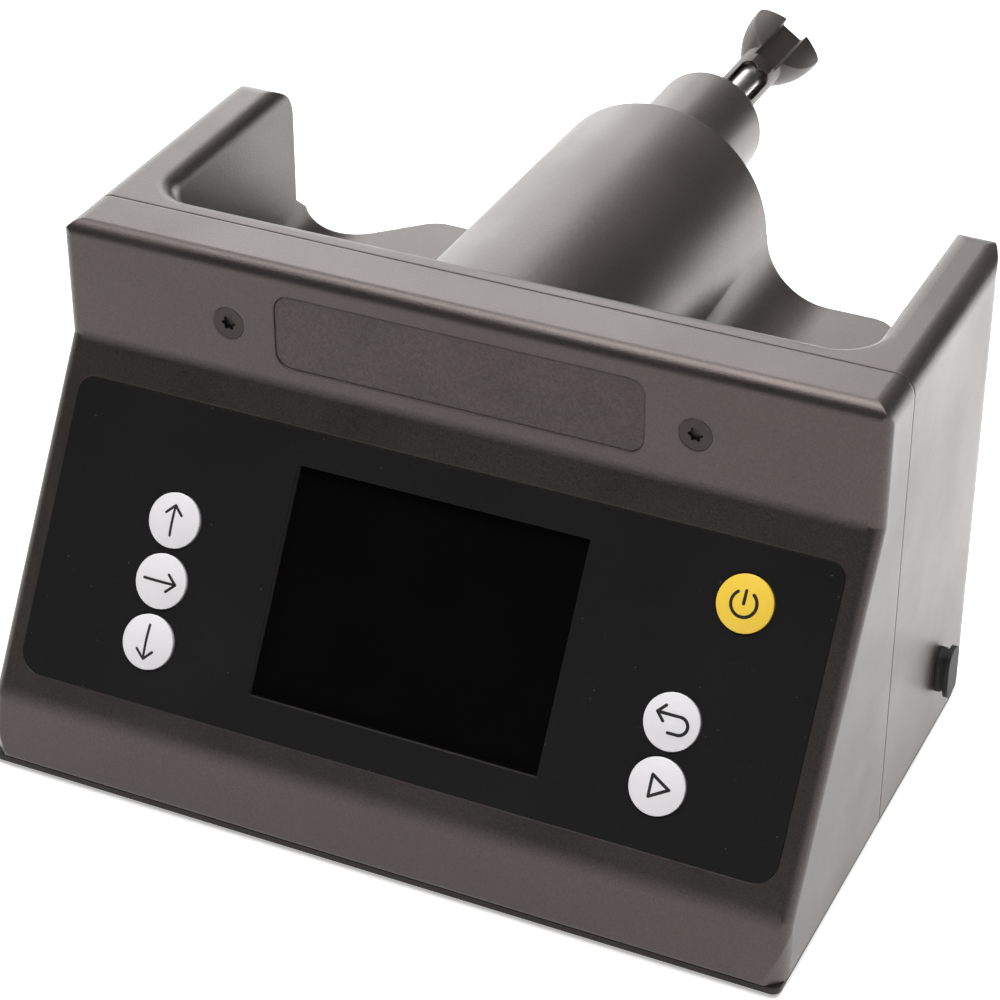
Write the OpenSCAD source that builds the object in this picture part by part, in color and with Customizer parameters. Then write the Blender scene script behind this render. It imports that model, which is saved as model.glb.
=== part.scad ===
// Battery driven film processor. Millimetres, +Z up, +Y towards the drive end.
// Origin: middle of the footprint, on the surface the feet stand on.

/* [Body] */
// Width of the body over its side faces
body_w = 150; // [144:1:164]
// Depth of the body at the base, lip to rear face
body_d = 124.3; // [122:0.1:130]
// Height of the shells above the base plate
body_h = 89.2; // [87:0.2:96]
// Wall thickness of both shells
wall = 2.4; // [2:0.1:2.8]

/* [Front] */
// Height of the upright band
band_h = 22; // [21:0.5:25]
// Horizontal run of the slanted panel
panel_run = 33.7; // [31:0.1:36]
// Height of the lip below the panel
lip_h = 11.75; // [10:0.25:13]
// Horizontal run of the lip
lip_run = 3.1; // [2:0.1:5]
// Depth of the front shell at its top
band_t = 11.5; // [11:0.1:13]

/* [Rear pocket and nose] */
// Width of each arm beside the pocket
arm_w = 10; // [9:0.1:12]
// Depth of the pocket floor below the top
pocket_h = 35.95; // [34.5:0.05:37.5]
// Radius of the rounded rim around the pocket
rim_r = 3; // [2.6:0.1:3.4]
// Size of the chamfer on the rear corners
rear_chamfer = 28.8; // [26:0.2:31]
// Radius of the motor nose at its rear end
nose_r = 22.3; // [22:0.1:23.2]
// Depth of the nose axis below the top
nose_drop = 23.4; // [23:0.1:24]
// Radius that blends the floor into the arms
blend_r = 9.5; // [8:0.1:12]
// Radius that blends the floor into the nose
nose_blend_r = 12.8; // [10:0.1:14]

/* [Drive] */
// Offset of the spindle above the nose axis
spindle_rise = 6.95; // [6.5:0.05:7.2]
// Radius of the spindle sleeve
sleeve_r = 10.8; // [10.2:0.1:11.2]
// Length of the spindle sleeve behind the nose
sleeve_l = 26.2; // [24:0.2:30]
// Radius of the steel spindle
spindle_r = 3; // [2.8:0.05:3.2]
// Reach of the coupling wings from the axis
wing_r = 8; // [7.4:0.05:8.6]
// Length of the winged head of the coupling
head_l = 14.8; // [13:0.1:17]
// Distance from the sleeve end to the winged head
neck_l = 28; // [26:0.2:32]

/* [Keys and display] */
// Diameter of a key cap
key_d = 9.7; // [9:0.1:10]
// Distance between neighbouring keys in a column
key_pitch = 10.8; // [10.6:0.05:11.5]
// Distance of the key columns from the middle of the layout
key_x = 47.65; // [46:0.05:48.5]
// Travel of a key
key_travel = 0.5; // [0.3:0.1:0.5]
// Width of the display opening
display_w = 54.2; // [50:0.2:56]
// Height of the display opening
display_h = 40.4; // [38:0.2:42]

/* [Hidden] */
$fn = 96;

// Clearances
part_gap = 0.3;
run_gap = 0.04;
seam = 0.24;
hair = 0.02;
fit_gap = 0.05;
over = 1;

// Seal between the shells, inset from the outer faces
seal_in = 0.9;
seal_out = 1.8;
seal_foot = 3;
seal_sink = 0.5;

// Base and feet
foot_drop = 0.8;
rim_t = 1.2;
rim_inset = 0.4;
rim_corner_r = 1.6;
z_shell = foot_drop + rim_t;
plate_step = 1.6;
z_plate = z_shell + plate_step;
foot_r = 5;
foot_seat = 0.6;
foot_x = body_w / 2 - 17;
foot_front_y = -body_d / 2 + 17;
foot_rear_y = body_d / 2 - rear_chamfer - 4;

// Side profile of the shells, in Y and Z
z_top = z_shell + body_h;
y_lip = -body_d / 2;
y_rear = body_d / 2;
y_bend = y_lip + lip_run;
z_bend = z_shell + lip_h;
y_band = y_bend + panel_run;
z_kink = z_top - band_h;
y_split = y_band + band_t;
panel_slope = atan2(z_kink - z_bend, y_band - y_bend);
panel_l = norm([z_kink - z_bend, y_band - y_bend]);
lip_slope = atan2(lip_h, lip_run);
side_x = body_w / 2;
edge_r = 2.2;
front_top_r = 2.6;
side_top_r = 3.6;
kink_r = 4.5;
kink_l = kink_r * tan((90 - panel_slope) / 2);
y_arc = y_band - kink_r;
z_arc = z_kink + kink_l;
bend_r = 12;
foot_edge_r = 0.6;
front_corner_r = 5;
chamfer_out_r = 15;
chamfer_in_r = 6;

// Pocket, nose and drive positions
rim_flat = 1.9;
y_pocket = y_split + rim_flat + rim_r;
pocket_x = side_x - arm_w;
z_floor = z_top - pocket_h;
z_nose = z_top - nose_drop;
nose_rise = z_nose - z_floor;
z_spin = z_nose + spindle_rise;
pocket_corner_r = 7;
nose_draft = 0.6;
z_rim = z_top - rim_r;
y_nose_in = y_rear - wall;
blend_x = sqrt(pow(nose_r + nose_blend_r, 2) - pow(nose_rise - nose_blend_r, 2));
nose_edge = 0.6;
arm_end_r = 7;
arm_end_fall = 40;
y_arm = y_rear - rear_chamfer + 6.55;
z_arm = z_floor + blend_r + 1.75;

// Panel layout: v runs down the panel from the kink
film_t = 0.35;
film_sink = 0.2;
film_x = side_x - 4.15;
film_r = [4.2, 2.8];
film_v0 = 6.7;
film_v1 = panel_l - 5;
display_v = film_v0 + 6.1 + display_h / 2;
layout_x = 0.6;
key_v0 = film_v0 + 20.75;
power_v = key_v0 - key_pitch;
power_x = key_x + 7.5;
key_r = key_d / 2;
key_proud = 1.15;
key_dome_r = 18;
symbol_w = 0.45;
symbol_n = 0.72;
flange_t = 0.7;
flange_r = key_r + 0.9;
plunger_r = 1.5;
window_t = 1.2;
module_t = 4.2;
board_t = 1.6;
n_board = -wall - module_t;
board_edge = 4.85;
board_x = power_x + board_edge;
board_v0 = film_v0 + 2.5;
board_v1 = film_v1 - 1.8;
board_post_x = 38;
board_post_v = [film_v0 + 5.3, film_v1 - 5.8];
post_r = 3;
switch_w = 6;
switch_t = 2.3;

// Band details
plate_w = 67.6;
plate_h = 13.7;
plate_sink = 0.8;
plate_t = 0.6;
plate_r = 2.9;
z_name = z_top - 11.9;
band_screw_x = 42.7;
band_screw_z = z_top - 12.6;
csk_r = 2.95;
csk_h = 1.7;
screw_r = 1.5;
band_boss_l = 6.4;
band_screw_l = 10;

// Port on the right side
port_share = 0.637;
side_l = y_rear - rear_chamfer - y_split;
port_y = y_split + port_share * side_l;
port_z = z_shell + 12.8;
plug_neck = [4.2, 8.5];
plug_collar = [5, 8.9];
plug_head = [5.6, 10.3];
plug_prong = [2.6, 8.1];
plug_slot = [1.4, 7];
plug_head_out = 2.6;
plug_step = 0.9;
plug_prong_l = 4.6;
socket_l = 9;
socket_w = 5;
socket_h = 11;
socket_depth = 7;
socket_tongue = [0.7, 6.3];

// Power board
power_t = 1.6;
power_share = [0.52, 0.27];
z_power = port_z - socket_h / 2;
power_x1 = side_x - wall - 1.6;
power_y0 = port_y - power_share[0] * side_l;
power_y1 = port_y + power_share[1] * side_l;
standoff_r = 2.6;
standoff_in = 4;
peg_r = 1.25;

// Battery
cell_r = 9.2;
cell_l = 65;
cell_pitch = 20;
tray_t = 1.2;
tray_x0 = -side_x + 21;
tray_edge = 2;
power_x0 = tray_x0 + cell_l + tray_edge + 11;
cell_y0 = y_split + 30.35;
z_cell = z_plate + tray_t + cell_r;

// Gear motor, on the nose axis
box_r = 18.5;
box_l = 21.5;
box_wall = 1.8;
box_plate_t = 1.5;
y_box1 = y_nose_in;
y_box0 = y_box1 - box_l;
can_r = 16.5;
can_l = 30;
can_wall = 1.2;
y_can0 = y_box0 - can_l;
magnet_r = 13.2;
rotor_r = 12;
rotor_l = 18;
motor_shaft_r = 1;
gear_m = 0.5;
teeth_small = 12;
teeth_large = 24;
gear_d = gear_m * (teeth_small + teeth_large) / 2;
stage_z = spindle_rise / 2;
stage_x = sqrt(pow(gear_d, 2) - pow(stage_z, 2));
stage_angle = atan2(stage_z, stage_x);
gear1_t = 4;
gear2_t = 5;
y_gear1 = y_box0 + box_plate_t + 0.7;
y_gear2 = y_gear1 + gear1_t + 1.4;
journal_r = 1.5;
motor_screw_pcd = 15.5;
motor_screw_angles = [0, 180, 270];
motor_screw_l = 5;

// Sleeve, bearings and coupling
y_sleeve1 = y_rear + sleeve_l;
spigot_r = 8;
bearing_r = 6.5;
bearing_t = 5;
seal_t = 3;
y_bearing1 = y_sleeve1 - 9;
y_seal = y_sleeve1 - seal_t - 0.4;
y_head = y_sleeve1 + neck_l;
y_head1 = y_head + head_l;
wing_angle = -35;
neck_r = spindle_r + 1.1;
leg_l = 17;
y_leg = y_head - leg_l;
flare_reach = wing_r - neck_r + 2 * hair;
flare_r = (pow(flare_reach, 2) + pow(head_l, 2)) / (2 * flare_reach);
wing_edge_r = 1;
wing_half_t = 3.7;
lens_r = 14;
groove_x = 2.3;
groove_spread = 0.7;
groove_floor = 1.85;
groove_start = 3;
window_end = 6.5;
lobe_r = 1.55;
bore_end = 4;
tang_r = 1.3;
tang_l = 11;
y_tang1 = y_head - bore_end + tang_l;
retainer_r = 0.8;
retainer_head_r = 1.5;
retainer_sink = 1.5;
retainer_l = y_head1 - retainer_sink - y_tang1 + 5;

// Plane helpers
function edge_normal(a, b) = [a[1] - b[1], b[0] - a[0]] / norm(b - a);
function inset_vertex(c, n1, n2, d1, d2) =
    c + [d1 * n2[1] - d2 * n1[1], d2 * n1[0] - d1 * n2[0]] / (n1[0] * n2[1] - n1[1] * n2[0]);
function inset(pts, d) =
    let (k = len(pts))
    [for (i = [0 : k - 1])
        let (p = pts[(i + k - 1) % k], c = pts[i], q = pts[(i + 1) % k])
        inset_vertex(c, edge_normal(p, c), edge_normal(c, q), d[(i + k - 1) % k], d[i])];
function toward(a, b) = (b - a) / norm(b - a);
function half_angle(p, c, q) = acos(toward(c, p) * toward(c, q)) / 2;
function turns_left(p, c, q) =
    (c[0] - p[0]) * (q[1] - c[1]) - (c[1] - p[1]) * (q[0] - c[0]) > 0;

// Closed outline with true arcs at its corners; points run anticlockwise
module rounded_outline(pts, radii) {
    k = len(pts);
    before = [for (i = [0 : k - 1]) pts[(i + k - 1) % k]];
    after = [for (i = [0 : k - 1]) pts[(i + 1) % k]];
    tangent = [for (i = [0 : k - 1]) radii[i] / tan(half_angle(before[i], pts[i], after[i]))];
    cut = [for (i = [0 : k - 1]) for (s = radii[i] > 0 ? [0, 1] : [0])
        s == 0 ? pts[i] + toward(pts[i], before[i]) * tangent[i]
               : pts[i] + toward(pts[i], after[i]) * tangent[i]];
    centre = [for (i = [0 : k - 1])
        let (b = toward(pts[i], before[i]) + toward(pts[i], after[i]))
        pts[i] + b / norm(b) * radii[i] / sin(half_angle(before[i], pts[i], after[i]))];
    difference() {
        union() {
            polygon(cut);
            for (i = [0 : k - 1])
                if (turns_left(before[i], pts[i], after[i]))
                    translate(centre[i]) circle(r = radii[i]);
        }
        for (i = [0 : k - 1])
            if (!turns_left(before[i], pts[i], after[i]))
                translate(centre[i]) circle(r = radii[i]);
    }
}

module rounded_rect(x0, y0, x1, y1, r) {
    rounded_outline([[x0, y0], [x1, y0], [x1, y1], [x0, y1]], [r, r, r, r]);
}

// Placement helpers
module along_x(x0, x1) {
    translate([x0, 0, 0]) rotate([90, 0, 90]) linear_extrude(x1 - x0) children();
}

module along_y(y0, y1) {
    translate([0, y1, 0]) rotate([90, 0, 0]) linear_extrude(y1 - y0) children();
}

module rod_y(r, y0, y1, x = 0, z = 0) {
    translate([x, y0, z]) rotate([-90, 0, 0]) cylinder(r = r, h = y1 - y0);
}

module rod_x(r, x0, x1, y, z) {
    translate([x0, y, z]) rotate([0, 90, 0]) cylinder(r = r, h = x1 - x0);
}

module on_panel(x, v) {
    translate([x, y_band, z_kink]) rotate([panel_slope, 0, 0]) translate([0, -v, 0]) children();
}

// Rod on the panel normal, from height n0 to n1 over the panel face
module panel_rod(r, n0, n1) {
    translate([0, 0, n0]) cylinder(r = r, h = n1 - n0);
}

function shrink(r, d) = max(r - d, 0.4);

// Outer form of both shells, set in by d on every face but the bottom
function profile_points(d) = inset(
    [[y_lip, z_shell], [y_rear, z_shell], [y_rear, z_top], [y_band, z_top],
        [y_band, z_kink], [y_bend, z_bend]],
    [d > 0 ? -3 : 0, d, d, d, d, d]);
function plan_points(d) = inset(
    [[-side_x, y_lip], [side_x, y_lip], [side_x, y_rear - rear_chamfer],
        [side_x - rear_chamfer, y_rear], [rear_chamfer - side_x, y_rear],
        [-side_x, y_rear - rear_chamfer]],
    [d, d, d, d, d, d]);

module plan_outline(d) {
    rounded_outline(plan_points(d), [shrink(front_corner_r, d), shrink(front_corner_r, d),
        shrink(chamfer_out_r, d), shrink(chamfer_in_r, d), shrink(chamfer_in_r, d),
        shrink(chamfer_out_r, d)]);
}

module section_outline(d) {
    z0 = d > 0 ? z_shell - 3 : z_shell;
    r0 = shrink(foot_edge_r, d);
    r1 = shrink(side_top_r, d);
    rounded_outline([[d - side_x, z0], [side_x - d, z0], [side_x - d, z_top - d], [d - side_x, z_top - d]],
        [r0, r0, r1, r1]);
}

// Bar under one front face: local z is the face normal, edges at the side faces are rounded
module face_bar(d, slope, y, z) {
    r = d > 0 ? 0 : edge_r;
    x = side_x + hair - d;
    deep = 2 * body_d;
    translate([0, y, z]) rotate([slope, 0, 0]) rotate([90, 0, 0])
        linear_extrude(4 * body_d, center = true)
            rounded_outline([[-x, -deep], [x, -deep], [x, hair - d], [-x, hair - d]], [r, r, r, r]);
}

// Rounds the inner corner between band and panel
module kink_fillet() {
    deep = 1.6;
    x = side_x - edge_r - 0.3;
    along_x(-x, x) difference() {
        polygon([[y_band, z_arc], [y_band - kink_l * cos(panel_slope), z_kink - kink_l * sin(panel_slope)],
            [y_band + deep, z_kink - deep * tan((90 - panel_slope) / 2)]]);
        translate([y_arc + hair, z_arc]) circle(r = kink_r);
    }
}

module body_form(d = 0) {
    intersection() {
        along_x(-side_x - over, side_x + over)
            rounded_outline(profile_points(d), [shrink(foot_edge_r, d), shrink(foot_edge_r, d),
                shrink(edge_r, d), shrink(front_top_r, d), 0, shrink(bend_r, d)]);
        along_y(-body_d, body_d) section_outline(d);
        linear_extrude(z_top + over) plan_outline(d - (d > 0 ? 0 : hair));
        union() {
            face_bar(d, 90, y_band, z_top);
            face_bar(d, panel_slope, y_band, z_kink);
        }
        face_bar(d, lip_slope, y_bend, z_bend);
    }
}

module front_half(y1) {
    intersection() {
        children();
        translate([-body_w, -2 * body_d, -body_h])
            cube([2 * body_w, y1 + 2 * body_d, 4 * body_h]);
    }
}

module rear_half(y0) {
    intersection() {
        children();
        translate([-body_w, y0, -body_h]) cube([2 * body_w, 2 * body_d, 4 * body_h]);
    }
}

// Key places on the panel: x and v
key_places = [for (p = [[-key_x, key_v0], [-key_x, key_v0 + key_pitch], [-key_x, key_v0 + 2 * key_pitch],
    [power_x, power_v], [key_x, key_v0 + key_pitch], [key_x, key_v0 + 2 * key_pitch]])
    p + [layout_x, 0]];
base_screws = [[-side_x + 6, y_lip + 13], [side_x - 6, y_lip + 13],
    [-side_x + 14, y_rear - rear_chamfer + 3], [side_x - 14, y_rear - rear_chamfer + 3]];
base_screw_l = 8;
base_boss_r = 3.4;
feet = [[-foot_x, foot_front_y], [foot_x, foot_front_y],
    [-foot_x, foot_rear_y - 8], [foot_x, foot_rear_y - 8]];

module display_opening(extra, n0, n1) {
    on_panel(layout_x, display_v) translate([0, 0, n0]) linear_extrude(n1 - n0)
        square([display_w + 2 * extra, display_h + 2 * extra], center = true);
}

module front_shell() {
    color("dimgray") difference() {
        union() {
            difference() {
                front_half(y_split - seam / 2) body_form();
                front_half(y_split + over) body_form(wall);
            }
            kink_fillet();
            for (s = [-1, 1])
                intersection() {
                    rod_y(post_r + 1, y_band + edge_r / 2, y_split - band_boss_l - part_gap,
                        s * band_screw_x, band_screw_z);
                    body_form();
                }
            intersection() {
                for (s = [-1, 1])
                    for (v = board_post_v)
                        on_panel(s * board_post_x, v) panel_rod(post_r, n_board, -wall / 2);
                body_form();
            }
            intersection() {
                for (i = [0, 1])
                    translate([base_screws[i][0], base_screws[i][1], z_plate])
                        cylinder(r = base_boss_r, h = body_h);
                body_form();
            }
        }
        // film recess, display opening and key holes
        on_panel(0, (film_v0 + film_v1) / 2) translate([0, 0, -film_sink]) linear_extrude(wall)
            film_outline(fit_gap);
        display_opening(0, -wall - over, over);
        for (k = key_places)
            on_panel(k[0], k[1]) panel_rod(key_r + part_gap, -wall - over, over);
        // name plate seat
        along_y(y_band - over, y_band + plate_sink) name_outline(fit_gap);
        // screw seats
        for (s = [-1, 1]) {
            rod_y(screw_r + 0.2, y_band - over, y_split, s * band_screw_x, band_screw_z);
            translate([s * band_screw_x, y_band, band_screw_z]) rotate([-90, 0, 0])
                cylinder(r1 = csk_r + fit_gap, r2 = screw_r, h = csk_h);
        }
        for (s = [-1, 1])
            for (v = board_post_v)
                on_panel(s * board_post_x, v) panel_rod(peg_r, n_board - over, n_board + 3);
        for (i = [0, 1])
            translate([base_screws[i][0], base_screws[i][1], z_plate - over])
                cylinder(r = screw_r, h = base_screw_l + over);
        along_y(y_split - seam / 2 - seal_sink, y_split + over) seal_outline(fit_gap);
    }
}

module seal_outline(gap) {
    z0 = z_plate + seal_foot - gap;
    difference() {
        section_ring(seal_in - gap, seal_out + gap);
        translate([-body_w, z0 - body_h]) square([2 * body_w, body_h]);
    }
}

module section_ring(d0, d1) {
    difference() {
        section_outline(d0);
        section_outline(d1);
    }
}

module joint_seal() {
    color("black") along_y(y_split - seam / 2 - seal_sink, y_split + seam / 2) seal_outline(0);
}

// Void between the arms: floor blends into nose and arm walls; e grows it into the material
module pocket_section(e) {
    x = pocket_x + e;
    z0 = z_floor - e;
    r = blend_r + e;
    z_blend = z_floor + nose_blend_r;
    top = z_top + 40;
    difference() {
        rounded_outline([[-x, z0], [x, z0], [x, top], [-x, top]], [r, r, 1, 1]);
        translate([0, z_nose]) circle(r = nose_r - over - e);
        difference() {
            polygon([[0, z_nose], [-blend_x, z_blend], [-blend_x, z0 - over],
                [blend_x, z0 - over], [blend_x, z_blend]]);
            for (s = [-1, 1])
                translate([s * blend_x, z_blend]) circle(r = nose_blend_r + e);
        }
    }
}

// Rounding of the pocket rim: x runs away from the wall, y upwards
module rim_section() {
    difference() {
        square([rim_r, rim_r + over]);
        translate([rim_r, 0]) circle(r = rim_r);
    }
}

module pocket_rim() {
    x = pocket_x - pocket_corner_r;
    y = y_pocket + pocket_corner_r;
    for (s = [0, 1])
        mirror([s, 0, 0]) {
            translate([0, y_rear + over, z_rim]) rotate([90, 0, 0])
                linear_extrude(y_rear + over - y) translate([pocket_x, 0]) rim_section();
            translate([x, y, z_rim]) rotate(-90)
                rotate_extrude(angle = 90) translate([pocket_corner_r, 0]) rim_section();
        }
    translate([-x, y_pocket, z_rim]) rotate([90, 0, 90]) linear_extrude(2 * x)
        mirror([1, 0]) rim_section();
}

module pocket_void(e) {
    x = pocket_x + e;
    y0 = y_pocket - e;
    r = pocket_corner_r + e;
    y1 = y_rear + 20;
    nose_l = y_rear - nose_edge - y_split;
    difference() {
        union() {
            intersection() {
                along_y(y0 - over, y_rear + 2 * over) pocket_section(e);
                linear_extrude(z_top + 30)
                    rounded_outline([[-x, y0], [x, y0], [x, y1], [-x, y1]], [r, r, 1, 1]);
            }
            if (e == 0) pocket_rim();
        }
        translate([0, y_split, z_nose]) rotate([-90, 0, 0]) rotate_extrude()
            polygon([[0, 0], [nose_r + nose_draft - e, 0], [nose_r + hair - e, nose_l],
                [nose_r + hair - e - 2 * over, nose_l + 2 * over], [0, nose_l + 2 * over]]);
    }
}

// Squares off the rear ends of the arms, rounded over at the top and falling away at the bottom
module arm_end_cut(e) {
    r = arm_end_r - e;
    y = y_arm - e - r;
    z = z_top - e - r;
    z0 = z_arm - e * (1 - sin(arm_end_fall)) / cos(arm_end_fall);
    far = body_d / 2;
    for (s = [-1, 1])
        translate([s * side_x, 0, 0]) along_x(-arm_w - over, arm_w + over) difference() {
            polygon([[y + r, z0], [y + far, z0 - (far - r) * tan(arm_end_fall)],
                [y + far, z_top + over], [y, z_top + over], [y, z], [y + r, z]]);
            translate([y, z]) circle(r = r);
        }
}

module rear_shell() {
    color("dimgray") difference() {
        union() {
            difference() {
                rear_half(y_split + seam / 2) body_form();
                pocket_void(0);
                arm_end_cut(0);
                difference() {
                    rear_half(y_split - over) body_form(wall);
                    pocket_void(wall);
                    arm_end_cut(wall);
                }
            }
            // bosses for the band screws reach forward into the front shell
            for (s = [-1, 1])
                rod_y(post_r, y_split - band_boss_l, y_pocket - wall / 2, s * band_screw_x, band_screw_z);
            intersection() {
                for (i = [2, 3])
                    translate([base_screws[i][0], base_screws[i][1], z_plate])
                        cylinder(r = base_boss_r, h = z_floor - wall / 2 - z_plate);
                body_form();
            }
        }
        for (s = [-1, 1])
            rod_y(screw_r, y_split - band_boss_l - over, y_band + band_screw_l + 0.5,
                s * band_screw_x, band_screw_z);
        for (i = [2, 3])
            translate([base_screws[i][0], base_screws[i][1], z_plate - over])
                cylinder(r = screw_r, h = base_screw_l + over);
        // sleeve seat and motor screws in the end wall
        rod_y(spigot_r + fit_gap, y_nose_in - over, y_rear + over, 0, z_spin);
        for (a = motor_screw_angles)
            rod_y(screw_r + 0.1, y_nose_in - over, y_rear + over,
                motor_screw_pcd * cos(a), z_nose + motor_screw_pcd * sin(a));
        // charging port
        port_stadium(plug_neck + [0.1, 0.1], side_x - wall - over, side_x + over);
    }
}

module base_plate() {
    color("dimgray") difference() {
        union() {
            translate([0, 0, foot_drop]) linear_extrude(rim_t) base_rim();
            translate([0, 0, z_shell - hair]) linear_extrude(plate_step + hair) plan_outline(wall + lip_run);
            for (p = standoffs())
                translate([p[0], p[1], z_plate - hair]) {
                    cylinder(r = standoff_r, h = z_power - power_t - z_plate + hair);
                    cylinder(r = peg_r, h = z_power - z_plate + 0.8);
                }
        }
        for (p = base_screws)
            translate([p[0], p[1], 0]) {
                cylinder(r = screw_r + 0.2, h = z_plate + over);
                translate([0, 0, foot_drop - hair]) cylinder(r1 = csk_r + fit_gap, r2 = screw_r, h = csk_h);
            }
        for (p = feet)
            translate([p[0], p[1], 0]) cylinder(r = foot_r, h = foot_drop + foot_seat);
    }
}

module base_rim() {
    rounded_outline(plan_points(rim_inset), [rim_corner_r, rim_corner_r, chamfer_out_r, chamfer_in_r,
        chamfer_in_r, chamfer_out_r]);
}

function standoffs() = [for (x = [power_x0 + standoff_in, power_x1 - standoff_in])
    for (y = [power_y0 + standoff_in, power_y1 - standoff_in]) [x, y]];

module film_outline(grow) {
    h = (film_v1 - film_v0) / 2 + grow;
    x = film_x + grow;
    rounded_outline([[-x, -h], [x, -h], [x, h], [-x, h]], [film_r[0], film_r[0], film_r[1], film_r[1]]);
}

module panel_film() {
    mid = (film_v0 + film_v1) / 2;
    color("black") difference() {
        on_panel(0, mid) translate([0, 0, -film_sink]) linear_extrude(film_t) film_outline(0);
        display_opening(0, -over, over);
        for (k = key_places)
            on_panel(k[0], k[1]) panel_rod(key_r + part_gap, -over, over);
    }
}

module name_outline(grow) {
    x = plate_w / 2 + grow;
    h = plate_h / 2 + grow;
    rounded_rect(-x, z_name - h, x, z_name + h, plate_r);
}

module name_plate() {
    color("dimgray") along_y(y_band + plate_sink - plate_t, y_band + plate_sink) name_outline(0);
}

module display_window() {
    color([0.05, 0.05, 0.06]) on_panel(layout_x, display_v) translate([0, 0, -wall]) linear_extrude(window_t)
        square([display_w - 0.1, display_h - 0.1], center = true);
}

module display_module() {
    color("silver") on_panel(layout_x, display_v) translate([0, 0, n_board]) linear_extrude(module_t)
        square([display_w + 5, display_h + 4], center = true);
}

module control_board() {
    mid = (board_v0 + board_v1) / 2;
    color("darkgreen") difference() {
        on_panel(0, mid) translate([0, 0, n_board - board_t]) linear_extrude(board_t)
            square([2 * board_x, board_v1 - board_v0], center = true);
        for (s = [-1, 1])
            for (v = board_post_v)
                on_panel(s * board_post_x, v)
                    panel_rod(peg_r + 0.15, n_board - board_t - over, n_board + over);
    }
}

// Symbols, drawn around their middle as strokes with round ends
module stroke(a, b) {
    l = norm(b - a);
    translate(a) rotate(atan2(b[1] - a[1], b[0] - a[0])) translate([0, -symbol_w / 2]) square([l, symbol_w]);
    for (p = [a, b])
        translate(p) circle(r = symbol_w / 2);
}

module glyph_arrow(l) {
    reach = 1.5;
    stroke([0, -l / 2], [0, l / 2]);
    for (s = [-1, 1])
        stroke([s * reach, l / 2 - reach], [0, l / 2]);
}

module glyph_power() {
    r = 2.2;
    gap = 38;
    stroke([0, 0], [0, 2.15]);
    difference() {
        circle(r = r + symbol_w / 2);
        circle(r = r - symbol_w / 2);
        polygon([[0, 0], [-3 * tan(gap), 3], [3 * tan(gap), 3]]);
    }
    for (s = [-1, 1])
        translate([s * r * sin(gap), r * cos(gap)]) circle(r = symbol_w / 2);
}

module glyph_return() {
    r = 1.5;
    bow = [1.5, -0.3];
    tip = [-2.6, bow[1] + r];
    reach = 1.3;
    difference() {
        translate(bow) circle(r = r + symbol_w / 2);
        translate(bow) circle(r = r - symbol_w / 2);
        translate(bow - [3, 3]) square([3, 6]);
    }
    stroke([-0.1, bow[1] - r], bow - [0, r]);
    stroke(tip, bow + [0, r]);
    for (s = [-1, 1])
        stroke(tip, tip + reach * [1, s]);
}

module glyph_start() {
    tips = [[-0.9, -1.85], [2.3, 0], [-0.9, 1.85]];
    for (i = [0 : 2])
        stroke(tips[i], tips[(i + 1) % 3]);
}

module key_glyph(i) {
    if (i == 0) glyph_arrow(5.3);
    if (i == 1) rotate(-90) glyph_arrow(6.1);
    if (i == 2) rotate(180) glyph_arrow(6);
    if (i == 3) glyph_power();
    if (i == 4) glyph_return();
    if (i == 5) glyph_start();
}

// Cap, flange under the wall and plunger, in one moulding
module key_cap(i, tint) {
    flange_n = -wall - part_gap;
    color(tint) on_panel(key_places[i][0], key_places[i][1]) difference() {
        union() {
            intersection() {
                panel_rod(key_r, flange_n - hair, key_proud + over);
                translate([0, 0, key_proud - key_dome_r]) sphere(r = key_dome_r);
            }
            intersection() {
                panel_rod(flange_r, flange_n - flange_t, flange_n);
                cube([3 * flange_r, key_pitch - part_gap, 4 * wall + 4 * flange_t], center = true);
            }
            panel_rod(plunger_r, n_board + 0.3 + part_gap + key_travel, flange_n);
        }
        translate([0, 0, symbol_n]) linear_extrude(over) key_glyph(i);
    }
}

module key_switch(i) {
    color("dimgray") on_panel(key_places[i][0], key_places[i][1]) difference() {
        translate([-switch_w / 2, -switch_w / 2, n_board]) cube([switch_w, switch_w, switch_t]);
        panel_rod(plunger_r + part_gap, n_board + 0.3, n_board + switch_t + over);
    }
}

// Six-lobe drive recess
module lobe_recess(r, h) {
    intersection() {
        cylinder(r = r, h = h);
        union() {
            cylinder(r = 0.72 * r, h = h);
            for (a = [0 : 60 : 300])
                rotate(a) translate([0.72 * r, 0, 0]) cylinder(r = 0.26 * r, h = h, $fn = 24);
        }
    }
}

// Countersunk screw: head face at z = 0, shank towards +z
module flat_screw(l, r_head, h_head, r) {
    difference() {
        union() {
            cylinder(r1 = r_head, r2 = r, h = h_head);
            cylinder(r = r, h = l);
        }
        translate([0, 0, -over]) lobe_recess(1.35, over + 0.9);
    }
}

module pan_screw(l, r_head, h_head, r) {
    difference() {
        union() {
            translate([0, 0, -h_head]) cylinder(r = r_head, h = h_head);
            cylinder(r = r, h = l);
        }
        translate([0, 0, -h_head - over]) lobe_recess(0.5 * r_head, over + 0.6 * h_head);
    }
}

module band_screw(s) {
    color("dimgray") translate([s * band_screw_x, y_band, band_screw_z]) rotate([-90, 0, 0])
        flat_screw(band_screw_l, csk_r, csk_h, screw_r);
}

module board_screw(i) {
    s = i % 2 == 0 ? -1 : 1;
    v = board_post_v[floor(i / 2)];
    color("silver") on_panel(s * board_post_x, v) translate([0, 0, n_board - board_t])
        pan_screw(board_t + 2.5, 2.3, 1.5, peg_r);
}

module base_screw(i) {
    color("silver") translate([base_screws[i][0], base_screws[i][1], foot_drop])
        flat_screw(base_screw_l, csk_r, csk_h, screw_r);
}

module foot(i) {
    color("black") translate([feet[i][0], feet[i][1], 0])
        cylinder(r = foot_r, h = foot_drop + foot_seat);
}

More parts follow.
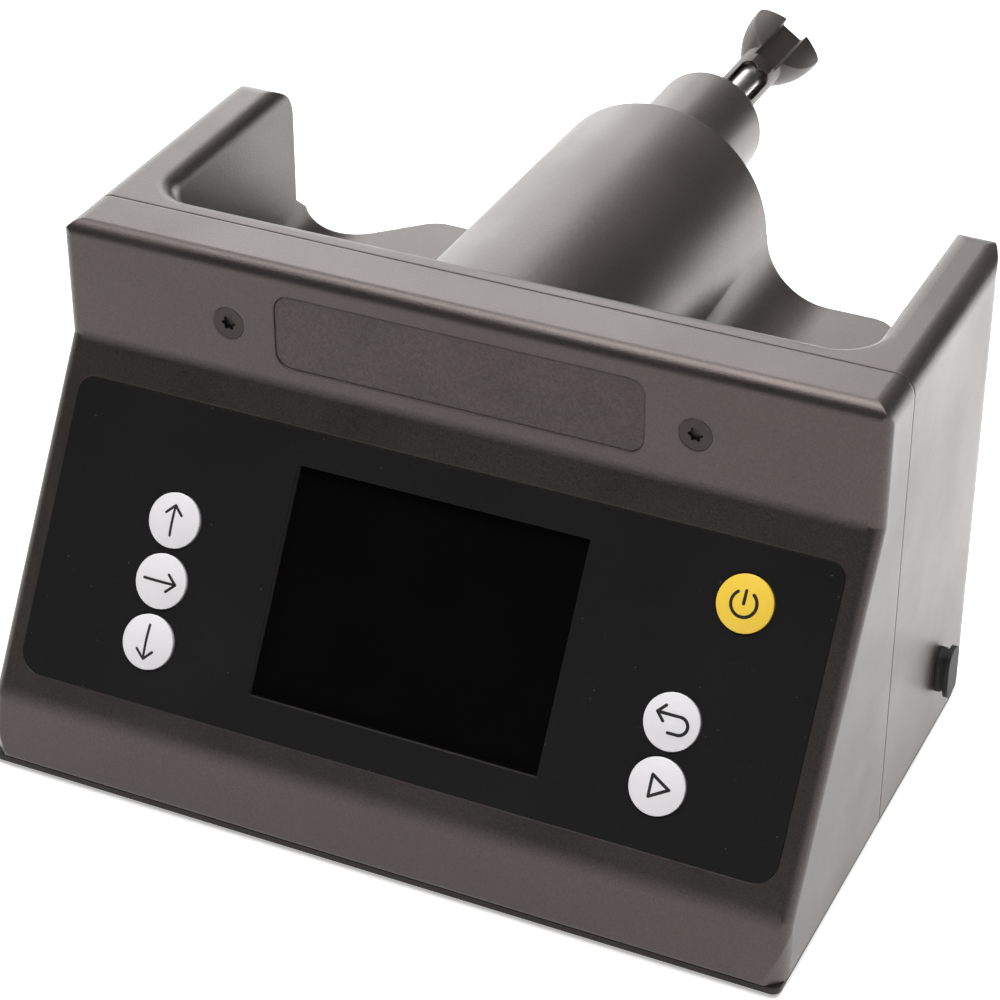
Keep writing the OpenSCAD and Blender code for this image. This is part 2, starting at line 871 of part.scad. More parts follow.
module battery_tray() {
    y0 = cell_y0 - cell_r - tray_t;
    y1 = cell_y0 + cell_pitch + cell_r + tray_t;
    color("dimgray") difference() {
        translate([tray_x0 - tray_edge, y0, z_plate])
            cube([cell_l + 2 * tray_edge, y1 - y0, tray_t + cell_r]);
        for (j = [0, 1])
            rod_x(cell_r, tray_x0, tray_x0 + cell_l, cell_y0 + j * cell_pitch, z_cell);
    }
}

module battery_cell(j) {
    color("steelblue") rod_x(cell_r, tray_x0, tray_x0 + cell_l - 1.2, cell_y0 + j * cell_pitch, z_cell);
    color("silver") rod_x(3, tray_x0 + cell_l - 1.2, tray_x0 + cell_l, cell_y0 + j * cell_pitch, z_cell);
}

module power_board() {
    color("darkgreen") difference() {
        translate([power_x0, power_y0, z_power - power_t])
            cube([power_x1 - power_x0, power_y1 - power_y0, power_t]);
        for (p = standoffs())
            translate([p[0], p[1], z_power - power_t - over]) cylinder(r = peg_r, h = power_t + 2 * over);
    }
}

// Prism on the port axis with half round ends, size given as [width, height]
module port_stadium(size, x0, x1) {
    r = size[0] / 2;
    translate([0, port_y, port_z]) along_x(x0, x1) union() {
        square([size[0], size[1] - 2 * r], center = true);
        for (s = [-1, 1])
            translate([0, s * (size[1] / 2 - r)]) circle(r = r);
    }
}

module charge_socket() {
    x1 = side_x - wall - 0.2;
    color("dimgray") difference() {
        translate([x1 - socket_l, port_y - socket_w / 2, z_power]) cube([socket_l, socket_w, socket_h]);
        port_stadium(plug_prong + 2 * [part_gap, part_gap], x1 - socket_depth, x1 + over);
    }
    color("gold")
        translate([x1 - socket_depth - hair, port_y - socket_tongue[0] / 2, port_z - socket_tongue[1] / 2])
            cube([socket_depth - 1.5, socket_tongue[0], socket_tongue[1]]);
}

module sounder() {
    x = power_x0 + 14;
    y = power_y0 + 8;
    color("black") difference() {
        translate([x, y, z_power]) cylinder(r = 6, h = 8.5);
        translate([x, y, z_power + 4]) cylinder(r = 1.2, h = 8.5);
    }
}

// Rubber plug: grip, groove and collar outside, a hollow prong in the socket
module port_plug() {
    x_in = side_x - wall + 0.1;
    x_head = side_x + plug_head_out;
    color("black") difference() {
        union() {
            port_stadium(plug_head, x_head - plug_step, x_head);
            port_stadium(plug_neck, x_in, x_head - plug_step + hair);
            port_stadium(plug_collar, side_x, side_x + plug_step);
            port_stadium(plug_prong, x_in - plug_prong_l, x_in + hair);
        }
        translate([x_in - plug_prong_l - over, port_y - plug_slot[0] / 2, port_z - plug_slot[1] / 2])
            cube([plug_prong_l + over, plug_slot[0], plug_slot[1]]);
    }
}

// Involute spur gear outline, first tooth on the +x axis
function involute_angle(r, rb) = tan(acos(rb / r)) * 180 / PI - acos(rb / r);
module gear_outline(z) {
    rp = gear_m * z / 2;
    rb = rp * cos(20);
    ra = rp + 0.7 * gear_m;
    rf = rp - 0.95 * gear_m;
    play = 0.1;
    half = 90 / z - play / (4 * rp) * 180 / PI + involute_angle(rp, rb);
    r0 = max(rb, rf);
    steps = 5;
    rs = [for (i = [0 : steps]) r0 + (ra - r0) * i / steps];
    up = concat([[rf, half]], [for (r = rs) [r, half - involute_angle(r, rb)]]);
    k = len(up);
    polygon([for (t = [0 : z - 1]) for (i = [0 : 2 * k - 1])
        let (p = i < k ? [up[i][0], -up[i][1]] : up[2 * k - 1 - i], a = t * 360 / z + p[1])
        [p[0] * cos(a), p[0] * sin(a)]]);
}

module gear(z, y0, t, x, h, turn, bore) {
    difference() {
        translate([x, 0, h]) along_y(y0, y0 + t) rotate(turn) gear_outline(z);
        rod_y(bore, y0 - over, y0 + t + over, x, h);
    }
}

module motor_can() {
    color("silver") difference() {
        rod_y(can_r, y_can0, y_box0, 0, z_nose);
        rod_y(can_r - can_wall, y_can0 + 1.5, y_box0 - 1.5, 0, z_nose);
        rod_y(motor_shaft_r + run_gap, y_can0 - over, y_box0 + over, 0, z_nose);
    }
}

module motor_magnets() {
    color("dimgray") difference() {
        rod_y(can_r - can_wall, y_can0 + 4, y_box0 - 5, 0, z_nose);
        rod_y(magnet_r, y_can0 + 3, y_box0 - 4, 0, z_nose);
        translate([-can_r, y_can0, z_nose - 2]) cube([2 * can_r, can_l, 4]);
    }
}

module motor_rotor() {
    y0 = y_can0 + 5.5;
    color("peru") rod_y(rotor_r, y0, y0 + rotor_l, 0, z_nose);
    color("silver") {
        rod_y(motor_shaft_r, y_can0 - 1.5, y0, 0, z_nose);
        rod_y(motor_shaft_r, y0 + rotor_l, y_gear1 + gear1_t + 0.3, 0, z_nose);
        gear(teeth_small, y_gear1, gear1_t, 0, z_nose, stage_angle, motor_shaft_r);
    }
}

module gearbox_plate() {
    color("silver") difference() {
        rod_y(box_r, y_box0, y_box0 + box_plate_t, 0, z_nose);
        rod_y(motor_shaft_r + run_gap, y_box0 - over, y_box0 + box_plate_t + over, 0, z_nose);
        rod_y(motor_shaft_r + run_gap, y_box0 + 0.3, y_box0 + box_plate_t + over, stage_x, z_nose + stage_z);
        rod_y(journal_r + run_gap, y_box0 + 0.3, y_box0 + box_plate_t + over, 0, z_spin);
    }
}

module gearbox_case() {
    y0 = y_box0 + box_plate_t;
    front_t = 2;
    color("silver") difference() {
        rod_y(box_r, y0, y_box1, 0, z_nose);
        difference() {
            rod_y(box_r - box_wall, y0 - over, y_box1 - front_t, 0, z_nose);
            for (a = motor_screw_angles)
                rod_y(2.6, y_box1 - front_t - 4, y_box1,
                    motor_screw_pcd * cos(a), z_nose + motor_screw_pcd * sin(a));
        }
        rod_y(spindle_r + run_gap, y_box1 - front_t - over, y_box1 + over, 0, z_spin);
        rod_y(motor_shaft_r + run_gap, y_box1 - front_t - over, y_box1 - 0.7, stage_x, z_nose + stage_z);
        for (a = motor_screw_angles)
            rod_y(screw_r, y_box1 - motor_screw_l + 0.1, y_box1 + over,
                motor_screw_pcd * cos(a), z_nose + motor_screw_pcd * sin(a));
    }
}

module stage_gear() {
    x = stage_x;
    z = z_nose + stage_z;
    color("gold") {
        rod_y(motor_shaft_r, y_box0 + 0.6, y_box1 - 1, x, z);
        gear(teeth_large, y_gear1, gear1_t, x, z, stage_angle + 180 + 180 / teeth_large, motor_shaft_r);
        gear(teeth_small, y_gear1 + gear1_t, gear2_t + 1.9, x, z, 180 - stage_angle, motor_shaft_r);
    }
}

module output_gear() {
    color("gold") gear(teeth_large, y_gear2, gear2_t, 0, z_spin, -stage_angle + 180 / teeth_large, spindle_r);
}

module motor_screw(i) {
    a = motor_screw_angles[i];
    color("silver") translate([motor_screw_pcd * cos(a), y_rear, z_nose + motor_screw_pcd * sin(a)])
        rotate([90, 0, 0]) pan_screw(wall + motor_screw_l - 0.5, 2.7, 1.6, screw_r);
}

module spindle_sleeve() {
    end_r = 0.8;
    color("dimgray") difference() {
        union() {
            rod_y(spigot_r, y_nose_in, y_rear, 0, z_spin);
            rod_y(sleeve_r, y_rear, y_sleeve1 - end_r, 0, z_spin);
            translate([0, y_sleeve1 - end_r, z_spin]) rotate([-90, 0, 0])
                cylinder(r1 = sleeve_r, r2 = sleeve_r - end_r, h = end_r);
        }
        rod_y(bearing_r, y_nose_in - over, y_nose_in + bearing_t, 0, z_spin);
        rod_y(bearing_r - 1.5, y_nose_in, y_sleeve1, 0, z_spin);
        rod_y(bearing_r, y_bearing1, y_sleeve1 + over, 0, z_spin);
    }
}

module ring_y(r_out, r_in, y0, t) {
    difference() {
        rod_y(r_out, y0, y0 + t, 0, z_spin);
        rod_y(r_in, y0 - over, y0 + t + over, 0, z_spin);
    }
}

module inner_bearing() {
    color("silver") ring_y(bearing_r, spindle_r + run_gap, y_nose_in, bearing_t);
}

module outer_bearing() {
    color("silver") ring_y(bearing_r, spindle_r + run_gap, y_bearing1, bearing_t);
}

module shaft_seal() {
    color("black") ring_y(bearing_r, spindle_r + run_gap, y_seal, seal_t);
}

module spindle() {
    color("silver") difference() {
        union() {
            rod_y(journal_r, y_box0 + 0.6, y_gear2 - 0.5, 0, z_spin);
            rod_y(spindle_r, y_gear2 - 0.5, y_head - bore_end, 0, z_spin);
            rod_y(tang_r, y_head - bore_end - hair, y_tang1, 0, z_spin);
        }
        rod_y(retainer_r, y_tang1 - 5, y_tang1 + over, 0, z_spin);
    }
}

// Turned form of the coupling: radius against the place on the axis
module coupling_profile() {
    difference() {
        union() {
            translate([0, y_leg]) square([neck_r, leg_l + 5 * hair]);
            intersection() {
                translate([0, y_head]) square([wing_r, head_l]);
                translate([wing_r - flare_r, y_head1]) circle(r = flare_r);
            }
        }
        difference() {
            translate([wing_r - wing_edge_r, y_head1 - wing_edge_r]) square(wing_edge_r + over);
            translate([wing_r - wing_edge_r, y_head1 - wing_edge_r]) circle(r = wing_edge_r);
        }
    }
}

module lens_outline() {
    intersection() {
        translate([0, wing_half_t - lens_r]) circle(r = lens_r);
        translate([0, lens_r - wing_half_t]) circle(r = lens_r);
    }
}

module drive_coupling() {
    wide = groove_x + groove_spread;
    color("black") translate([0, 0, z_spin]) rotate([0, -wing_angle, 0]) difference() {
        intersection() {
            rotate([-90, 0, 0]) rotate_extrude() coupling_profile();
            along_y(y_leg - over, y_head1 + over) lens_outline();
        }
        // a groove along each face
        for (s = [0, 1])
            mirror([0, 0, s]) along_y(y_head - groove_start, y_head1 + over)
                polygon([[-groove_x, groove_floor], [groove_x, groove_floor],
                    [wide, wing_half_t + over], [-wide, wing_half_t + over]]);
        // windows between the legs
        translate([0, 0, -wing_r]) linear_extrude(2 * wing_r) {
            translate([-2 * lobe_r, y_leg - over])
                square([4 * lobe_r, leg_l - window_end - lobe_r + over]);
            for (s = [-1, 1])
                translate([s * lobe_r, y_head - window_end - lobe_r]) circle(r = lobe_r);
        }
        rod_y(spindle_r, y_leg - over, y_head - bore_end);
        rod_y(tang_r, y_head - bore_end - over, y_tang1);
        rod_y(retainer_r + fit_gap, y_tang1 - over, y_head1 + over);
        rod_y(retainer_head_r + fit_gap, y_head1 - retainer_sink, y_head1 + over);
    }
}

module coupling_screw() {
    color("silver") translate([0, y_head1 - retainer_sink, z_spin]) rotate([90, 0, 0])
        pan_screw(retainer_l, retainer_head_r, 1.1, retainer_r);
}

front_shell();
rear_shell();
joint_seal();
base_plate();
panel_film();
name_plate();
display_window();
display_module();
control_board();
key_cap(0, "white");  // key_up
key_cap(1, "white");  // key_right
key_cap(2, "white");  // key_down
key_cap(3, "gold");  // key_power
key_cap(4, "white");  // key_return
key_cap(5, "white");  // key_start
key_switch(0);  // switch_up
key_switch(1);  // switch_right
key_switch(2);  // switch_down
key_switch(3);  // switch_power
key_switch(4);  // switch_return
key_switch(5);  // switch_start
band_screw(-1);  // band_screw_left
band_screw(1);  // band_screw_right
board_screw(0);  // board_screw_1
board_screw(1);  // board_screw_2
board_screw(2);  // board_screw_3
board_screw(3);  // board_screw_4
base_screw(0);  // base_screw_1
base_screw(1);  // base_screw_2
base_screw(2);  // base_screw_3
base_screw(3);  // base_screw_4
foot(0);  // foot_1
foot(1);  // foot_2
foot(2);  // foot_3
foot(3);  // foot_4
battery_tray();
battery_cell(0);  // battery_cell_1
battery_cell(1);  // battery_cell_2
power_board();
charge_socket();
sounder();
port_plug();
motor_can();
motor_magnets();
motor_rotor();
gearbox_plate();
gearbox_case();
stage_gear();
output_gear();
motor_screw(0);  // motor_screw_1
motor_screw(1);  // motor_screw_2
motor_screw(2);  // motor_screw_3
spindle_sleeve();
inner_bearing();
outer_bearing();
shaft_seal();
spindle();
drive_coupling();
coupling_screw();
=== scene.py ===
"""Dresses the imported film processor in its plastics, rubber and metal, and sets it on a pale table."""

import math

import bmesh
import bpy
from mathutils import Matrix, Vector


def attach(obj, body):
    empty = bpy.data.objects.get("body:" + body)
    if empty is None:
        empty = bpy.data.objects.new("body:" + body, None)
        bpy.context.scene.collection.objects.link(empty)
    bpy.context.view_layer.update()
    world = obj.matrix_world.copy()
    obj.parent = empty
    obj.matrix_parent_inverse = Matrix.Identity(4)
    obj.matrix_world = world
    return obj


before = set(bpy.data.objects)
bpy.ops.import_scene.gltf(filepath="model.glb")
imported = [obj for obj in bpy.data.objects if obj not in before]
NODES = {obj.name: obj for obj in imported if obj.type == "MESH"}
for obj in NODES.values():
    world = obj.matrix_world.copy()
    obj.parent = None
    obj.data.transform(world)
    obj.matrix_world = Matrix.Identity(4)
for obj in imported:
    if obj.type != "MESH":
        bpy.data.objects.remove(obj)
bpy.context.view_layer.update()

bl_info = {
    "name": "Film processor dressing",
    "version": (1, 0, 0),
    "blender": (4, 5, 0),
    "location": "3D View > Sidebar > Film processor",
    "description": "Finishes, key symbols and studio for the film processor",
    "category": "Object",
}

MM = 0.001
UPRIGHT = math.pi / 2
FULL_TURN = 2 * math.pi

# Where the panel lies in the frame: the line where it meets the band, and its slope
BAND_Y = -25.35 * MM
KINK_Z = 69.2 * MM
PANEL_RISE = 55.45
PANEL_REACH = 33.7
PANEL_SLOPE = math.atan2(PANEL_RISE, PANEL_REACH)

# Where the keys lie on the panel: across it, and down from the kink
FILM_TOP = 6.7 * MM
KEY_TOP = FILM_TOP + 20.75 * MM
KEY_PITCH = 10.8 * MM
KEY_LEFT = -47.05 * MM
KEY_RIGHT = 48.25 * MM
POWER_OFFSET = 7.5 * MM
KEY_PLACES = {
    "key_up": (KEY_LEFT, KEY_TOP),
    "key_right": (KEY_LEFT, KEY_TOP + KEY_PITCH),
    "key_down": (KEY_LEFT, KEY_TOP + 2 * KEY_PITCH),
    "key_power": (KEY_RIGHT + POWER_OFFSET, KEY_TOP - KEY_PITCH),
    "key_return": (KEY_RIGHT, KEY_TOP + KEY_PITCH),
    "key_start": (KEY_RIGHT, KEY_TOP + 2 * KEY_PITCH),
}

# The domed key face: its top above the panel, its radius, and the floor of the grooves cut into it
KEY_CROWN = 1.15 * MM
KEY_DOME = 18.0 * MM
SYMBOL_FLOOR = 0.73 * MM
# How far the fillings stand above the key face
SYMBOL_PROUD = 0.012 * MM
# The flat symbols are cut along both axes this often, in mm, so that they can follow the dome
SYMBOL_CUT = 0.45
SYMBOL_CUT_START = 0.07
SYMBOL_CUTS = range(-7, 8)
CUT_TOLERANCE = 1e-7
ROUND_END_SIDES = 16
BOW_STEPS = 32
# The arrows' lines are finer than those of the other symbols
ARROW_LINE = 0.86

# Sockets of the mix node that carry colours; their names aren't unique
MIX_LOW = 6
MIX_HIGH = 7
MIX_RESULT = 2

# Between which noise values a pattern goes from nothing to full
SPECK_NOISE = (0.66, 0.74)
MOTTLE_NOISE = (0.35, 0.65)
GLOSS_NOISE = (0.3, 0.7)
# Distance from a dust speck's middle, as a share of the specks' spacing: full, and gone
DUST_REACH = (0.022, 0.035)
# Cosine between the true and the softened normal: the painted edge highlight starts, and is full
EDGE_HIGHLIGHT_TURN = (0.97, 0.80)
EDGE_HIGHLIGHT_SHARE = 0.7
# How much lighter than the plastic its specks and the dust are
SPECK_GAIN = 3.0
DUST_GAIN = 30.0
# Size of the specks against that of the grain
SPECK_SIZE = 1.7
LEAST_ROUGHNESS = 0.02
BEVEL_SAMPLES = 6


def colour_property(name, description, default):
    return bpy.props.FloatVectorProperty(
        name=name, description=description, default=default, size=3, min=0.0, max=1.0, subtype="COLOR"
    )


def length_property(name, description, default):
    return bpy.props.FloatProperty(
        name=name,
        description=description,
        default=default,
        min=0.0,
        unit="LENGTH",
        subtype="DISTANCE",
        precision=5,
    )


def power_property(name, description, default):
    return bpy.props.FloatProperty(name=name, description=description, default=default, unit="POWER")


class FilmProcessorHousing(bpy.types.PropertyGroup):
    """Finish of the housing"""

    shell: colour_property("Shell", "Colour of the moulded shells", (0.0258, 0.0225, 0.0216))
    # The base plate colour is darker than the shells as painted shade, for the plate in the shadow under the
    # body
    base: colour_property("Base", "Colour of the base plate", (0.012, 0.0105, 0.01))
    film: colour_property("Panel film", "Colour of the film on the panel", (0.005, 0.0048, 0.005))
    window: colour_property("Window", "Colour of the display window when dark", (0.0022, 0.0022, 0.0025))
    rubber: colour_property("Rubber", "Colour of plug, feet and seals", (0.012, 0.012, 0.012))
    coupling: colour_property("Coupling", "Colour of the drive coupling", (0.014, 0.0115, 0.0105))
    grain: length_property("Grain", "Size of the moulded grain on the shells", 0.0003)
    # The soft edge radius also sets the width of the painted edge highlight
    soft_edge: length_property("Soft edge", "Radius that breaks the moulded edges", 0.0006)
    warmth: colour_property("Warmth", "Tint of what the dark plastics reflect", (1.0, 0.83, 0.77))


class FilmProcessorKeys(bpy.types.PropertyGroup):
    """Colours and sizes of the keys"""

    cap: colour_property("Cap", "Colour of the plain keys", (0.84, 0.82, 0.84))
    power_cap: colour_property("Power cap", "Colour of the power key", (1.0, 0.665, 0.07))
    symbol: colour_property("Symbol", "Colour of the symbols", (0.006, 0.006, 0.006))
    line: length_property("Line", "Width of the symbols' lines", 0.00055)


class FilmProcessorStudio(bpy.types.PropertyGroup):
    """Table, lamps and camera"""

    table: colour_property("Table", "Colour of the table", (0.86, 0.855, 0.85))
    card: colour_property("Card", "Colour of the cards that darken reflections", (0.012, 0.012, 0.012))
    room: bpy.props.FloatProperty(
        name="Room", description="Strength of the light from all around", default=0.2, min=0.0
    )
    back_lamp: power_property("Back lamp", "Power of the soft lamp behind", 3.9)
    top_lamp: power_property("Top lamp", "Power of the soft lamp above", 16.0)
    low_lamp: power_property("Low lamp", "Power of the soft lamp low behind", 3.0)
    table_lamp: power_property("Table lamp", "Power of the lamp on the table behind", 3.2)
    lens: bpy.props.FloatProperty(
        name="Lens", description="Focal length of the camera", default=111.06, unit="CAMERA"
    )


# Materials


def add(tree, kind, **values):
    """Adds a shader node; keywords with a leading capital set its sockets, the others its own settings."""
    node = tree.nodes.new(kind)
    for key, value in values.items():
        if key[0].isupper():
            plug_in(tree, node.inputs[key.replace("_", " ")], value)
        else:
            setattr(node, key, value)
    return node


def plug_in(tree, socket, value):
    """Links a socket to another one's output, or sets it to a plain value."""
    if isinstance(value, bpy.types.NodeSocket):
        tree.links.new(value, socket)
    else:
        socket.default_value = value


def rgba(colour, gain=1.0):
    return tuple(min(1.0, c * gain) for c in colour) + (1.0,)


def blend(tree, factor, low, high):
    """Mixes two colours by a factor socket."""
    node = add(tree, "ShaderNodeMix", data_type="RGBA")
    plug_in(tree, node.inputs["Factor"], factor)
    plug_in(tree, node.inputs[MIX_LOW], low)
    plug_in(tree, node.inputs[MIX_HIGH], high)
    return node.outputs[MIX_RESULT]


def spread(tree, value, before, after):
    """Maps a value from one range, a pair of numbers, to another."""
    low, high = before
    to_low, to_high = after
    node = add(
        tree,
        "ShaderNodeMapRange",
        Value=value,
        From_Min=low,
        From_Max=high,
        To_Min=to_low,
        To_Max=to_high,
    )
    return node.outputs["Result"]


def noise(tree, vector, size, detail, rough=0.5):
    node = add(tree, "ShaderNodeTexNoise", Vector=vector, Scale=1.0 / size, Detail=detail, Roughness=rough)
    return node.outputs["Fac"]


def empty_material(name):
    """A material without nodes, and its tree."""
    material = bpy.data.materials.new(name)
    material.use_nodes = True
    material.node_tree.nodes.clear()
    return material, material.node_tree


def finish(
    name,
    colour,
    rough,
    grain,
    depth,
    patches=0.012,
    shade=0.12,
    rough_play=0.06,
    edge=0.0,
    # How much lighter the painted edge highlight is than the surface
    edge_highlight_gain=1.6,
    metallic=0.0,
    ior=1.5,
    coat=0.0,
    coat_rough=0.2,
    stretch=(1.0, 1.0, 1.0),
    specks=0.0,
    warm=(1.0, 1.0, 1.0),
    dust=0.0,
    mottle=0.0,
):
    """A surface with fine grain, slow colour and gloss changes, and softened, broken edges lightened by a
    painted highlight.

    Lengths in metres: grain (its size), depth (its height), patches (size of the slow changes), edge
    (radius) and dust (spacing of its specks). Specks, mottle and coat are strengths from 0 to 1.
    """
    material, tree = empty_material(name)
    place = add(tree, "ShaderNodeTexCoord").outputs["Object"]
    lay = add(tree, "ShaderNodeMapping", Vector=place, Scale=stretch).outputs["Vector"]
    fine = noise(tree, lay, grain, detail=3.0, rough=0.6)
    slow = noise(tree, place, patches, detail=3.0, rough=0.55)
    tint = blend(tree, slow, rgba(colour, 1.0 - shade), rgba(colour, 1.0 + shade))
    if specks:
        dots = spread(tree, noise(tree, place, grain * SPECK_SIZE, detail=1.0), SPECK_NOISE, (0.0, specks))
        tint = blend(tree, dots, tint, rgba(colour, SPECK_GAIN))
    if mottle:
        step = spread(tree, fine, MOTTLE_NOISE, (1.0 - mottle, 1.0 + mottle))
        tint = add(tree, "ShaderNodeVectorMath", operation="SCALE", Vector=tint, Scale=step).outputs["Vector"]
    if dust:
        cells = add(tree, "ShaderNodeTexVoronoi", Vector=place, Scale=1.0 / dust)
        near = spread(tree, cells.outputs["Distance"], DUST_REACH, (1.0, 0.0))
        tint = blend(tree, near, tint, rgba(colour, DUST_GAIN))
    bump = add(tree, "ShaderNodeBump", Strength=1.0, Distance=depth, Height=fine)
    if edge:
        soft = add(tree, "ShaderNodeBevel", samples=BEVEL_SAMPLES, Radius=edge).outputs["Normal"]
        true = add(tree, "ShaderNodeNewGeometry").outputs["Normal"]
        turn = add(tree, "ShaderNodeVectorMath", operation="DOT_PRODUCT")
        tree.links.new(soft, turn.inputs[0])
        tree.links.new(true, turn.inputs[1])
        # Painted highlight: the colour is lightened where the normal turns at an edge, as if the edge caught
        # the light
        painted_edge_highlight = spread(tree, turn.outputs["Value"], EDGE_HIGHLIGHT_TURN, (0.0, EDGE_HIGHLIGHT_SHARE))
        tint = blend(tree, painted_edge_highlight, tint, rgba(colour, edge_highlight_gain))
        tree.links.new(soft, bump.inputs["Normal"])
    smoothest = max(rough - rough_play, LEAST_ROUGHNESS)
    roughest = min(rough + rough_play, 1.0)
    shader = add(
        tree,
        "ShaderNodeBsdfPrincipled",
        Base_Color=tint,
        Roughness=spread(tree, slow, GLOSS_NOISE, (smoothest, roughest)),
        Normal=bump.outputs["Normal"],
        Metallic=metallic,
        IOR=ior,
        Coat_Weight=coat,
        Coat_Roughness=coat_rough,
        Specular_Tint=rgba(warm),
    )
    if coat:
        tree.links.new(bump.outputs["Normal"], shader.inputs["Coat Normal"])
    add(tree, "ShaderNodeOutputMaterial", Surface=shader.outputs["BSDF"])
    return material


def dress(material, *names):
    """Gives the named CAD nodes one material."""
    for name in names:
        slots = NODES[name].data.materials
        slots.clear()
        slots.append(material)


def nodes_starting(*beginnings):
    return (name for name in NODES if name.startswith(beginnings))


# Symbols, flat and in mm around the middle of their key, raised to the key face by fill_groove


def panel_place(across, down):
    """Panel frame at a place on the panel: x to the right, y up the panel, z out of it."""
    return (
        Matrix.Translation((0.0, BAND_Y, KINK_Z))
        @ Matrix.Rotation(PANEL_SLOPE, 4, "X")
        @ Matrix.Translation((across, -down, 0.0))
    )


def dot(bm, place, line):
    return bmesh.ops.create_circle(
        bm,
        cap_ends=True,
        radius=line / 2,
        segments=ROUND_END_SIDES,
        matrix=Matrix.Translation((place[0], place[1], 0.0)),
    )["verts"]


def stroke(bm, start, end, line):
    """A flat stroke with round ends: a disc whose far half moves to the end."""
    start = Vector(start) * MM
    end = Vector(end) * MM
    along = end - start
    for vert in dot(bm, start, line):
        if (vert.co.xy - start).dot(along) > 0:
            vert.co.xy += along


def bow(bm, middle, radius, start, sweep, line):
    """A flat ring segment with round ends, spun from one short edge."""
    middle = Vector(middle) * MM
    ends = [middle + Matrix.Rotation(start + turn, 2) @ Vector((radius * MM, 0.0)) for turn in (0.0, sweep)]
    out = (ends[0] - middle).normalized() * line / 2
    verts = [bm.verts.new((*(ends[0] + side * out), 0.0)) for side in (-1, 1)]
    bmesh.ops.spin(
        bm,
        geom=[*verts, bm.edges.new(verts)],
        cent=(*middle, 0.0),
        axis=(0.0, 0.0, 1.0),
        angle=sweep,
        steps=BOW_STEPS,
    )
    for place in ends:
        dot(bm, place, line)


def fill_groove(bm):
    """Cuts the flat strokes into short lengths and raises them to a hair above the domed key face."""
    for step in SYMBOL_CUTS:
        for axis in ((1.0, 0.0, 0.0), (0.0, 1.0, 0.0)):
            cut = Vector(axis) * (step * SYMBOL_CUT + SYMBOL_CUT_START) * MM
            geom = [*bm.verts, *bm.edges, *bm.faces]
            bmesh.ops.bisect_plane(bm, geom=geom, dist=CUT_TOLERANCE, plane_co=cut, plane_no=axis)
    for face in bm.faces:
        face.normal_update()
    bmesh.ops.reverse_faces(bm, faces=[face for face in bm.faces if face.normal.z > 0])
    made = bmesh.ops.extrude_face_region(bm, geom=bm.faces[:], use_keep_orig=True)
    for item in made["geom"]:
        if isinstance(item, bmesh.types.BMVert):
            reach = item.co.xy.length
            item.co.z = KEY_CROWN + SYMBOL_PROUD - KEY_DOME + math.sqrt(KEY_DOME**2 - reach**2)
    for vert in bm.verts:
        if vert.co.z == 0.0:
            vert.co.z = SYMBOL_FLOOR
    bmesh.ops.recalc_face_normals(bm, faces=bm.faces[:])


def linked_object(name, bm, material):
    """Makes an object from a bmesh whose place is already in its vertices."""
    mesh = bpy.data.meshes.new(name)
    bm.normal_update()
    bm.to_mesh(mesh)
    bm.free()
    mesh.materials.append(material)
    thing = bpy.data.objects.new(name, mesh)
    bpy.context.scene.collection.objects.link(thing)
    return thing


def arrow_symbol(bm, line, length, angle):
    line = line * ARROW_LINE
    tip = length / 2
    head = 1.5
    stroke(bm, (0.0, -tip), (0.0, tip), line)
    for side in (-head, head):
        stroke(bm, (side, tip - head), (0.0, tip), line)
    bmesh.ops.rotate(bm, verts=bm.verts[:], cent=(0, 0, 0), matrix=Matrix.Rotation(angle, 3, "Z"))


def power_symbol(bm, line):
    middle = (0.0, 0.0)
    radius = 2.2
    stem_top = 2.15
    half_gap = math.radians(38)
    stroke(bm, middle, (0.0, stem_top), line)
    bow(bm, middle, radius, UPRIGHT + half_gap, FULL_TURN - 2 * half_gap, line)


def return_symbol(bm, line):
    radius = 1.5
    middle = (1.5, -0.3)
    low_left = (-0.1, -1.8)
    low_right = (1.5, -1.8)
    high_right = (1.5, 1.2)
    tip = (-2.6, 1.2)
    head = 1.3
    bow(bm, middle, radius, -UPRIGHT, math.pi, line)
    stroke(bm, low_left, low_right, line)
    stroke(bm, tip, high_right, line)
    for side in (-head, head):
        stroke(bm, tip, (tip[0] + head, tip[1] + side), line)


def start_symbol(bm, line):
    tips = ((-0.9, -1.85), (2.3, 0.0), (-0.9, 1.85))
    for i in range(3):
        stroke(bm, tips[i], tips[(i + 1) % 3], line)


SYMBOLS = {
    "key_up": lambda bm, line: arrow_symbol(bm, line, length=5.3, angle=0.0),
    "key_right": lambda bm, line: arrow_symbol(bm, line, length=6.1, angle=-UPRIGHT),
    "key_down": lambda bm, line: arrow_symbol(bm, line, length=6.0, angle=math.pi),
    "key_power": power_symbol,
    "key_return": return_symbol,
    "key_start": start_symbol,
}


